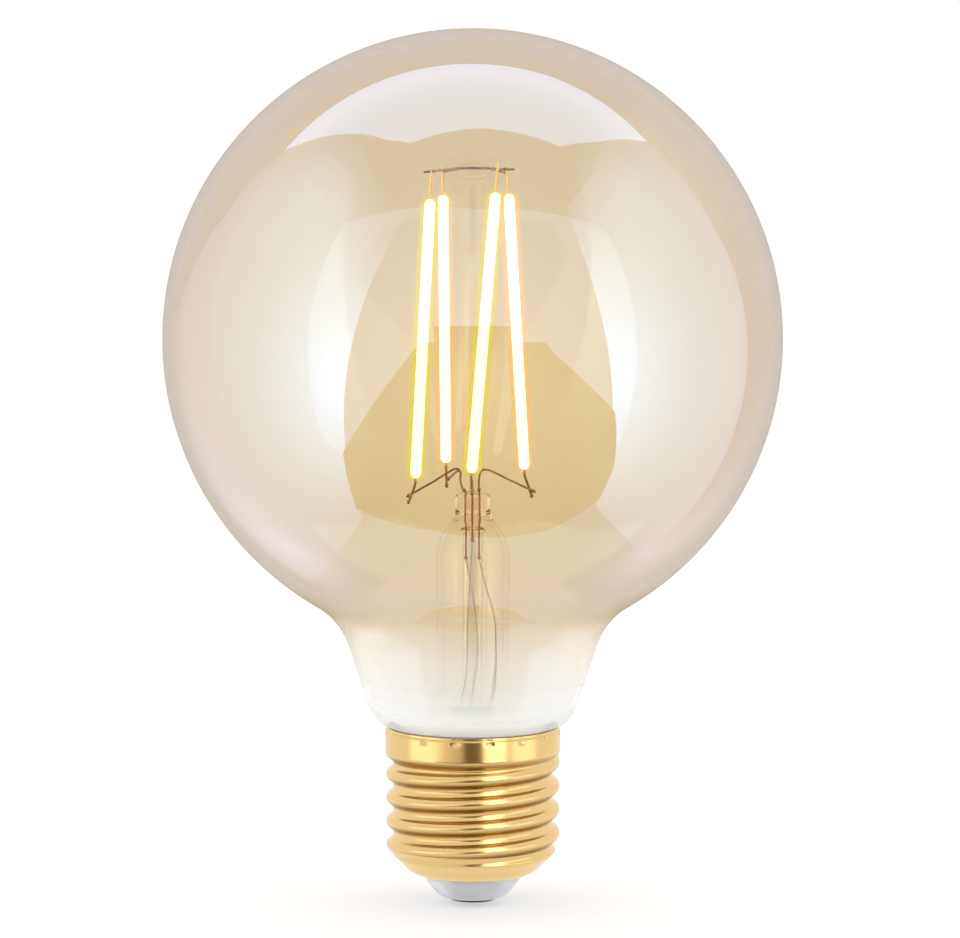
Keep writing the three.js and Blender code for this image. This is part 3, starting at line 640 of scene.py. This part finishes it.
# Borated copper: brick red where the glass wets it, and near black where the weld scorched it below.
borated = material("borated_copper_cladding")
place = node(borated, "TexCoord")
axes = node(borated, "SeparateXYZ", {0: place.outputs["Object"]})
scorch = node(borated, "MapRange", {"Value": axes.outputs["Z"], "From Min": 55.5 * MM,
                                    "From Max": 59.2 * MM})
mottle = node(borated, "TexNoise", {"Vector": place.outputs["Object"], "Scale": 1200.0, "Detail": 2.0})
both = node(borated, "Math", {0: scorch, 1: mottle.outputs["Fac"]}, operation="MULTIPLY")
red = node(borated, "ValToRGB", {"Fac": both})
red.color_ramp.elements[0].color = linear("#8a5c40")
red.color_ramp.elements[1].color = linear("#e07a55")
metal = node(borated, "BsdfPrincipled", {"Base Color": red, "Metallic": 0.6, "Roughness": 0.45})
node(borated, "OutputMaterial", {"Surface": metal})

# Tinned lead: dull silver, with faint draw lines along it.
tinned = worked("tinned_copper_lead", 2500.0, 2.0, "#a89f96", None, (0.3, 0.5), metallic=1.0,
                stretch=(1, 1, 0.1))

for name, points in SEAL_WIRES.items():
    fitted(wire(name + "_clad", points, SEAL_R, borated, welds=(0.01,)), "copper_clad_wire", name)
for name, points in OUTER_LEADS.items():
    fitted(wire(name + "_tinned", points, LEAD_R, tinned), "tinned_wire", name)

# ---- Screw cap shell ----------------------------------------------------------------------------
# 0.3 mm sheet, drawn, rolled to the 27 mm lamp thread and plated bright gold. Its plain band ends
# in a rim that steps in, with a ring of small punched dents that key it to the cement.

SHEET = 0.3
MAJOR_R = 26.45 / 2
MINOR_R = 24.26 / 2
PITCH = 3.629
ARC_R = 1.025                 # crest and groove arcs are alike and meet between them
CREST_Z = 8.5                 # a crest on the -X side
THREAD_END_Z = 21.0
BAND_START_Z = 23.2
BAND_R = 13.3
TOE_BLEND = 0.06              # how softly the toe's outline cuts the thread off
STEP_Z = 26.15
STEP_RISE = 0.25
STEP_IN = 0.16
RIM_Z = 26.75
DENTS = 16
DENT_Z = 25.95
DENT_DEPTH = 0.35
DENT_REACH = 0.36
ROW_STEP = 0.09
FINE_FROM_Z = 25.0            # from here up the rows lie closer, for the dents
FINE_STEP = 0.05


def ease(t):
    """0 below 0, 1 above 1, and 3t^2 - 2t^3 between."""
    t = np.clip(t, 0, 1)
    return t * t * (3 - 2 * t)


def thread_radius(angle, z):
    """The thread's outer face: arcs round the crests and grooves that swap at a quarter pitch. The
    crest climbs one pitch a turn, right-handed."""
    crest = CREST_Z + PITCH * (angle - np.pi) / (2 * np.pi)
    away = np.abs((z - crest + PITCH / 2) % PITCH - PITCH / 2)
    near = MAJOR_R - ARC_R + np.sqrt(np.maximum(ARC_R ** 2 - away ** 2, 0))
    far = MINOR_R + ARC_R - np.sqrt(np.maximum(ARC_R ** 2 - (PITCH / 2 - away) ** 2, 0))
    return np.where(away < PITCH / 4, near, far)


def shell_radius(angle, z, limit):
    """The shell's outer face: the thread, held in by the toe's outline, run out to the plain band,
    stepped in at the rim, and with a ring of bell-shaped dents."""
    runout = ease((z - THREAD_END_Z) / (BAND_START_Z - THREAD_END_Z))
    r = thread_radius(angle, z) * (1 - runout) + BAND_R * runout
    r = -TOE_BLEND * np.logaddexp(-r / TOE_BLEND, -limit / TOE_BLEND)
    r -= STEP_IN * ease((z - STEP_Z) / STEP_RISE)
    across = ((angle * DENTS / (2 * np.pi)) % 1 - 0.5) * 2 * np.pi * BAND_R / DENTS
    return r - DENT_DEPTH * np.exp(-(across ** 2 + (z - DENT_Z) ** 2) / DENT_REACH ** 2)


toe = smooth_through([(7.75, 3.95), (8.5, 4.1), (9.8, 4.75), (10.95, 5.9), (12.1, 6.95), (13.2, 8.4),
                      (14.4, 10.2)], 44)
heights = np.concatenate([toe[:, 1], np.arange(toe[-1, 1] + ROW_STEP, FINE_FROM_Z, ROW_STEP),
                          np.arange(FINE_FROM_Z, RIM_Z, FINE_STEP), [RIM_Z]])
# Above the toe the limit lies outside the thread, so nothing is cut off there.
limits = np.interp(heights, toe[:, 1], toe[:, 0], right=15.0)
angles = np.linspace(0, 2 * np.pi, 240, endpoint=False)
turn, height = np.meshgrid(angles, heights)
outside = shell_radius(turn, height, limits[:, None])
inside = outside[::-2] - SHEET
radius = np.concatenate([outside, inside])
height = np.concatenate([height, height[::-2] + SHEET * (1 - ease((height[::-2] - 4) / 4))])
turn = np.broadcast_to(angles, radius.shape)
shell_rows = np.stack([radius * np.cos(turn), radius * np.sin(turn), height], -1)

# Bright gold plate over drawn steel: sharp highlights that spread a little along the rolling.
gold_plate = material("bright_gold_plated_steel")
place = node(gold_plate, "TexCoord")
stretch = node(gold_plate, "Mapping", {"Vector": place.outputs["Object"], "Scale": (1, 1, 8)})
rolled = node(gold_plate, "TexNoise", {"Vector": stretch, "Scale": 300.0, "Detail": 3.0})
rough = node(gold_plate, "MapRange", {"Value": rolled.outputs["Fac"], "To Min": 0.17, "To Max": 0.27})
# Painted shade: in the thread, the faces that look downwards, the grooves' undersides, are darkened to a
# dull brown gold.
facing = node(gold_plate, "NewGeometry")
upright = node(gold_plate, "SeparateXYZ", {0: facing.outputs["Normal"]})
under = node(gold_plate, "MapRange", {"Value": upright.outputs["Z"], "From Min": -0.2, "From Max": -0.75})
axes = node(gold_plate, "SeparateXYZ", {0: place.outputs["Object"]})
in_thread = node(gold_plate, "Math", {0: axes.outputs["Z"], 1: CREST_Z * MM}, operation="GREATER_THAN")
painted_groove_shade = node(gold_plate, "Math", {0: under, 1: in_thread}, operation="MULTIPLY")
# The gold, and the dark brown of the painted shade under the grooves.
gold = node(gold_plate, "MixRGB", {0: painted_groove_shade, 1: linear("#eccc8c"), 2: linear("#8f6a30")})
plate = node(gold_plate, "BsdfPrincipled", {"Base Color": gold, "Metallic": 1.0, "Roughness": rough})
node(gold_plate, "OutputMaterial", {"Surface": plate})
shell = fitted(surface("screw_cap_shell", shell_rows, gold_plate, ring=True), "gold_plated_shell",
               "e27_shell")

# Flags keep the tall sides, the roof and the room's glow off the polished shell. It has low lights of
# its own: a fill on each side of the lens, and a narrow key to the right.
own = [card(name, standing(a, b, -0.086, top), colour, radiance, sheer=True)
       for name, a, b, top, colour, radiance in (
           ("shell_fill_left", (-0.12, -0.01), (-0.024, -0.117), -0.062, "#fff8ea", 0.75),
           ("shell_fill_right", (0.025, -0.117), (0.12, -0.01), -0.062, "#fff8ea", 0.7),
           ("shell_key", (0.028, -0.11), (0.075, -0.085), 0.12, "#fffaf0", 1.7))]
flagged = bpy.data.collections.new("flagged_off_the_shell")
keyed = bpy.data.collections.new("for_the_shell_only")
for group, state in ((flagged, "EXCLUDE"), (keyed, "INCLUDE")):
    group.objects.link(shell)
    group.collection_objects[0].light_linking.link_state = state
for panel in ("left_side", "right_side", "left_low", "right_low", "left_high", "right_high", "roof",
              "front_room"):
    bpy.data.objects[panel].light_linking.receiver_collection = flagged
for panel in own:
    panel.light_linking.receiver_collection = keyed

# ---- Insulator and centre contact ---------------------------------------------------------------
# The insulator is a glassy light grey cone moulded into the shell's toe. The contact is a tinned
# brass eyelet through its middle, flat underneath, with the driver's lead soldered in its stem.

# Pressed vitreous glass: satin, smooth to the touch, with faint flow marks under a glassy skin.
vitrite = worked("pressed_grey_glass", 350.0, 3.0, "#9fa2a7", "#b6b9be", 0.28,
                 also={"Coat Weight": 0.3, "Coat Roughness": 0.1})
cone = np.concatenate([
    bezier((3.75, 0.9), (3.7, 0.5), (4.1, 0.48), 6), bezier((4.1, 0.48), (4.9, 0.46), (5.5, 1.05), 10)[1:],
    bezier((5.5, 1.05), (6.5, 2.1), (7.4, 3.6), 12)[1:], [(7.45, 3.9), (7.45, 4.85)],
    bezier((7.45, 4.85), (8.9, 5.0), (9.4, 5.9), 6)[1:], [(9.4, 6.5), (1.7, 6.5), (1.7, 0.75)]])
fitted(surface("cap_insulator_cone", turned(cone, 96), vitrite, ring=True), "insulator", "cap_insulator")

# Tinned brass: a dull dark grey with fine scuffs from the lampholder's spring.
tinned_brass = worked("tinned_brass_eyelet", 700.0, 4.0, "#262628", None, (0.25, 0.5), metallic=0.7)
disc = np.concatenate([[(0, 0), (3.1, 0)], bezier((3.1, 0), (3.6, 0), (3.6, 0.3), 8)[1:],
                       [(3.6, 0.45), (1.35, 0.45)], bezier((1.35, 0.45), (1.25, 0.5), (1.25, 0.7), 4)[1:],
                       [(1.25, 6.8)], bezier((1.25, 6.8), (1.2, 7.1), (0.9, 7.1), 4)[1:], [(0, 7.1)]])
fitted(surface("contact_eyelet", turned(disc, 64), tinned_brass), "contact_metal", "centre_contact")

# ---- Basing cement and driver sleeve ------------------------------------------------------------
# A ring of baked phenolic cement holds the glass neck in the shell. Below it a short extruded
# plastic sleeve keeps the driver off the metal. Both are hidden once the lamp is closed.

# Baked cement: matt tan, gritty, with darker grains.
cement = material("baked_phenolic_cement")
place = node(cement, "TexCoord")
grit = node(cement, "TexNoise", {"Vector": place.outputs["Object"], "Scale": 1400.0, "Detail": 5.0})
tan = node(cement, "ValToRGB", {"Fac": grit.outputs["Fac"]})
tan.color_ramp.elements[0].color = linear("#8f7d63")
tan.color_ramp.elements[1].color = linear("#cdbfa4")
grain = node(cement, "Bump", {"Height": grit.outputs["Fac"], "Strength": 0.4, "Distance": 0.00015})
baked = node(cement, "BsdfPrincipled", {"Base Color": tan, "Roughness": 0.9, "Normal": grain})
node(cement, "OutputMaterial", {"Surface": baked})

# Extruded polypropylene: waxy, milky, with faint die lines that run down it.
sleeve = worked("extruded_polypropylene_sleeve", 1800.0, 2.0, "#d9d8d0", "#efeee8", (0.35, 0.55),
                stretch=(1, 1, 0.05))


def finished(*nodes, finish):
    """Gives CAD nodes that stay in the picture their own finish."""
    for name in nodes:
        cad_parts[name].data.materials.clear()
        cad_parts[name].data.materials.append(finish)


finished("basing_cement", finish=cement)
finished("driver_sleeve", finish=sleeve)

# ---- Driver and radio boards --------------------------------------------------------------------
# Flat laminate boards with lacquered copper tracks, moulded chips, and a tin-plated can over the
# radio. They are flat plates and blocks in the real lamp too, so the CAD pieces stay.


def lacquered(name, dark, light, track_width):
    """Solder mask over copper: the tracks show as lighter bricks in the lacquer, a track wide."""
    made = material(name)
    place = node(made, "TexCoord")
    upright = node(made, "Mapping", {"Vector": place.outputs["Object"], "Rotation": (math.pi / 2, 0, 0)})
    tracks = node(made, "TexBrick", {"Vector": upright, "Color1": linear(dark),
                                     "Color2": linear(dark, 1.15), "Mortar": linear(light), "Scale": 1.0,
                                     "Mortar Size": track_width * MM, "Brick Width": 9 * track_width * MM,
                                     "Row Height": 4 * track_width * MM})
    weave = node(made, "TexNoise", {"Vector": place.outputs["Object"], "Scale": 1100.0, "Detail": 2.0})
    gloss = node(made, "MapRange", {"Value": weave.outputs["Fac"], "To Min": 0.25, "To Max": 0.45})
    lacquer = node(made, "BsdfPrincipled", {"Base Color": tracks.outputs["Color"], "Roughness": gloss})
    node(made, "OutputMaterial", {"Surface": lacquer})
    return made


finished("driver_board", finish=lacquered("green_lacquered_fr4", "#1c5a38", "#3f8a5c", 0.35))
finished("radio_module", finish=lacquered("black_lacquered_fr4", "#16191d", "#34404a", 0.15))

# Transfer-moulded epoxy: near black, matt from the spark-eroded mould.
epoxy = worked("transfer_moulded_epoxy", 9000.0, 2.0, "#151517", "#2c2c2f", 0.6)
finished("bridge_rectifier", "driver_chip", "cool_channel_transistor", "warm_channel_transistor",
         finish=epoxy)

# Tin-plated steel sheet: bright grey, with the soft flow marks of reflowed tin.
can = worked("tin_plated_steel_can", 600.0, 3.0, "#c2c4c6", None, (0.22, 0.42), metallic=1.0, swirl=1.5)
finished("radio_shield_can", finish=can)

# ---- Upright driver parts -----------------------------------------------------------------------
# A can capacitor in a shrunk sleeve, a drum-core choke wound with enamelled copper, and a lacquered
# wire-wound resistor with its colour bands. All three stand upright beside the board.


def foot_of(part):
    """The middle of the underside of a CAD node's box, and the box's height, in millimetres."""
    low, high = (np.array(corner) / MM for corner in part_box(part))
    return (low[0] + high[0]) / 2, (low[1] + high[1]) / 2, low[2], high[2] - low[2]


# Shrunk PET: dark blue and glossy, drawn tight over the can's crimp, open over the bare top.
shrunk = worked("heat_shrunk_pet_sleeve", 500.0, 2.0, "#1d2333", "#2b3450", 0.25)

# Drawn aluminium: soft grey, with a fine grain.
bare_can = worked("drawn_aluminium_can", 2500.0, 2.0, "#c9cbcd", None, (0.3, 0.5), metallic=1.0)

x, y, z, tall = foot_of("bulk_capacitor")
side = np.concatenate([[(0, 0), (2.7, 0)], bezier((2.7, 0), (3.1, 0), (3.1, 0.4), 6)[1:],
                       bezier((3.1, 1.1), (3.05, 1.3), (2.85, 1.5), 6),
                       bezier((2.85, 1.5), (3.05, 1.7), (3.1, 1.9), 6)[1:],
                       bezier((3.1, tall - 0.5), (3.1, tall), (2.7, tall), 7),
                       bezier((2.5, tall), (2.4, tall - 0.12), (2.2, tall - 0.15), 5),
                       [(0.1, tall - 0.15), (0, tall - 0.15)]])
rows = turned(side + (0, z), 64, (x, y))
bare_top = np.arange(len(rows) - 1) >= len(rows) - 7
capacitor = surface("capacitor_can", rows, shrunk, second_finish=bare_can, second_rows=bare_top)
fitted(capacitor, "capacitor_sleeve", "bulk_capacitor")

# Enamelled copper wire, wound close: red-brown and glossy. Fired ferrite: dark, matt, stony.
winding = worked("enamelled_copper_winding", 1500.0, 2.0, "#8a4a26", "#b8683a", 0.3, metallic=0.9)
ferrite = worked("fired_ferrite", 3000.0, 4.0, "#26262a", "#3d3d42", 0.75)

x, y, z, tall = foot_of("filter_choke")
TURNS = 20
turns = np.linspace(1.0, tall - 1.0, 4 * TURNS + 1)
wound = np.stack([2.2 + 0.12 * np.abs(np.sin((turns - 1.0) * np.pi * TURNS / (tall - 2))), turns], -1)
side = np.concatenate([[(0, 0), (2.5, 0)], bezier((2.5, 0), (2.7, 0), (2.7, 0.2), 4)[1:],
                       [(2.7, 0.9), (2.6, 1.0)], wound, [(2.6, tall - 1.0), (2.7, tall - 0.9),
                                                         (2.7, tall - 0.2)],
                       bezier((2.7, tall - 0.2), (2.7, tall), (2.5, tall), 4)[1:], [(0, tall)]])
rows = turned(side + (0, z), 64, (x, y))
middle_rows = rows[:-1, 0, 2] - z
flanges = (middle_rows < 0.99) | (middle_rows > tall - 1.01)
choke = surface("drum_core_choke", rows, winding, second_finish=ferrite, second_rows=flanges)
fitted(choke, "choke_winding", "filter_choke")

# Baked lacquer: pale green and glossy, with four painted bands round it.
lacquer = material("baked_resistor_lacquer")
place = node(lacquer, "TexCoord")
axes = node(lacquer, "SeparateXYZ", {0: place.outputs["Object"]})
x, y, z, tall = foot_of("fusible_resistor")
share = node(lacquer, "MapRange", {"Value": axes.outputs["Z"], "From Min": z * MM,
                                   "From Max": (z + tall) * MM})
bands = node(lacquer, "ValToRGB", {"Fac": share})
bands.color_ramp.interpolation = "CONSTANT"
bands.color_ramp.elements[0].color = linear("#8fae8a")
bands.color_ramp.elements[1].position = 0.8
bands.color_ramp.elements[1].color = linear("#8fae8a")
for at, colour in ((0.2, "#6b4423"), (0.28, "#8fae8a"), (0.36, "#17171a"), (0.44, "#8fae8a"),
                   (0.53, "#17171a"), (0.61, "#8fae8a"), (0.72, "#c9a54a")):
    bands.color_ramp.elements.new(at).color = linear(colour)
orange_peel = node(lacquer, "TexNoise", {"Vector": place.outputs["Object"], "Scale": 2000.0, "Detail": 1.0})
gloss = node(lacquer, "MapRange", {"Value": orange_peel.outputs["Fac"], "To Min": 0.2, "To Max": 0.35})
paint = node(lacquer, "BsdfPrincipled", {"Base Color": bands, "Roughness": gloss})
node(lacquer, "OutputMaterial", {"Surface": paint})
side = smooth_through([(0, 0), (0.5, 0.02), (1.0, 0.35), (1.1, 0.9), (1.02, 1.5), (0.98, tall / 2),
                       (1.02, tall - 1.5), (1.1, tall - 0.9), (1.0, tall - 0.35), (0.5, tall - 0.02),
                       (0, tall)], 56)
side[[0, -1], 0] = 0
resistor = surface("lacquered_resistor", turned(side + (0, z), 48, (x, y)), lacquer)
fitted(resistor, "resistor_coat", "fusible_resistor")

# ---- Driver wires -------------------------------------------------------------------------------
# Tinned copper runs from the eyelet and the shell to the board, and a bare copper aerial stands up
# from the radio into the white-coated neck.

DRIVER_LEAD_R = 0.2
AERIAL_R = 0.13
fitted(wire("contact_lead_tinned", [(0, 0, 7.6), (0.2, -0.6, 8.2), (0.4, -1.1, 9.2), (0.5, -1.1, 10.6)],
            DRIVER_LEAD_R, tinned), "tinned_wire", "contact_lead_wire")
fitted(wire("shell_lead_tinned", [(-7.2, -1.1, 17.2), (-7.8, -1.1, 19.2), (-8.9, -1.0, 20.1),
                                  (-11.05, -0.8, 20.15)], DRIVER_LEAD_R, tinned),
       "tinned_wire", "shell_lead_wire")
fitted(wire("copper_aerial", [(2.7, 0, 29.9), (3.3, 1.2, 32), (3.5, 1.9, 35), (3.5, 1.9, 41)], AERIAL_R,
            winding), "copper_clad_wire", "antenna_wire")
